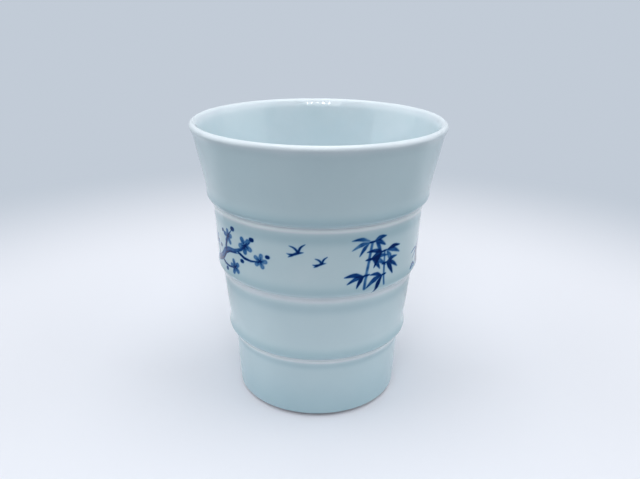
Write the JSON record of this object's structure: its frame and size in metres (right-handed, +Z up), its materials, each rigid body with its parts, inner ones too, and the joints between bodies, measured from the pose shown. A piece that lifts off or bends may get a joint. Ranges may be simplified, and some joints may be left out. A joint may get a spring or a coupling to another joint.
{
  "type": "handleless cup",
  "caption": "Tall handleless porcelain cup for drinks: stacked tiers step in towards the foot, with raised rings, a flared round lip and a blue brush-painted band under pale glaze.",
  "frame": {"origin": "on the axis, at the plane that the foot ring stands on", "axes": "+Z up along the axis of the cup, towards the lip; X and Y are level and, apart from the painting, equal"},
  "size_m": [0.0886, 0.0886, 0.1013],
  "materials": {
    "bare_porcelain": "matte, unglazed",
    "pale_glaze": "gloss, pale blue-white",
    "painted_glaze": "gloss, over a cobalt blue brush painting"
  },
  "bodies": {
    "root": {"foot_ring": "bare_porcelain", "base_floor": "bare_porcelain", "foot_tier": "bare_porcelain", "lower_tier": "bare_porcelain", "painted_tier": "bare_porcelain", "rim_tier": "bare_porcelain", "lip_ring": "bare_porcelain", "lower_ring": "bare_porcelain", "middle_ring": "bare_porcelain", "upper_ring": "bare_porcelain", "foot_tier_glaze": "pale_glaze", "lower_tier_glaze": "pale_glaze", "painted_tier_glaze": "painted_glaze", "rim_tier_glaze": "pale_glaze", "inside_glaze": "pale_glaze", "underside_glaze": "pale_glaze"}
  },
  "joints": []
}
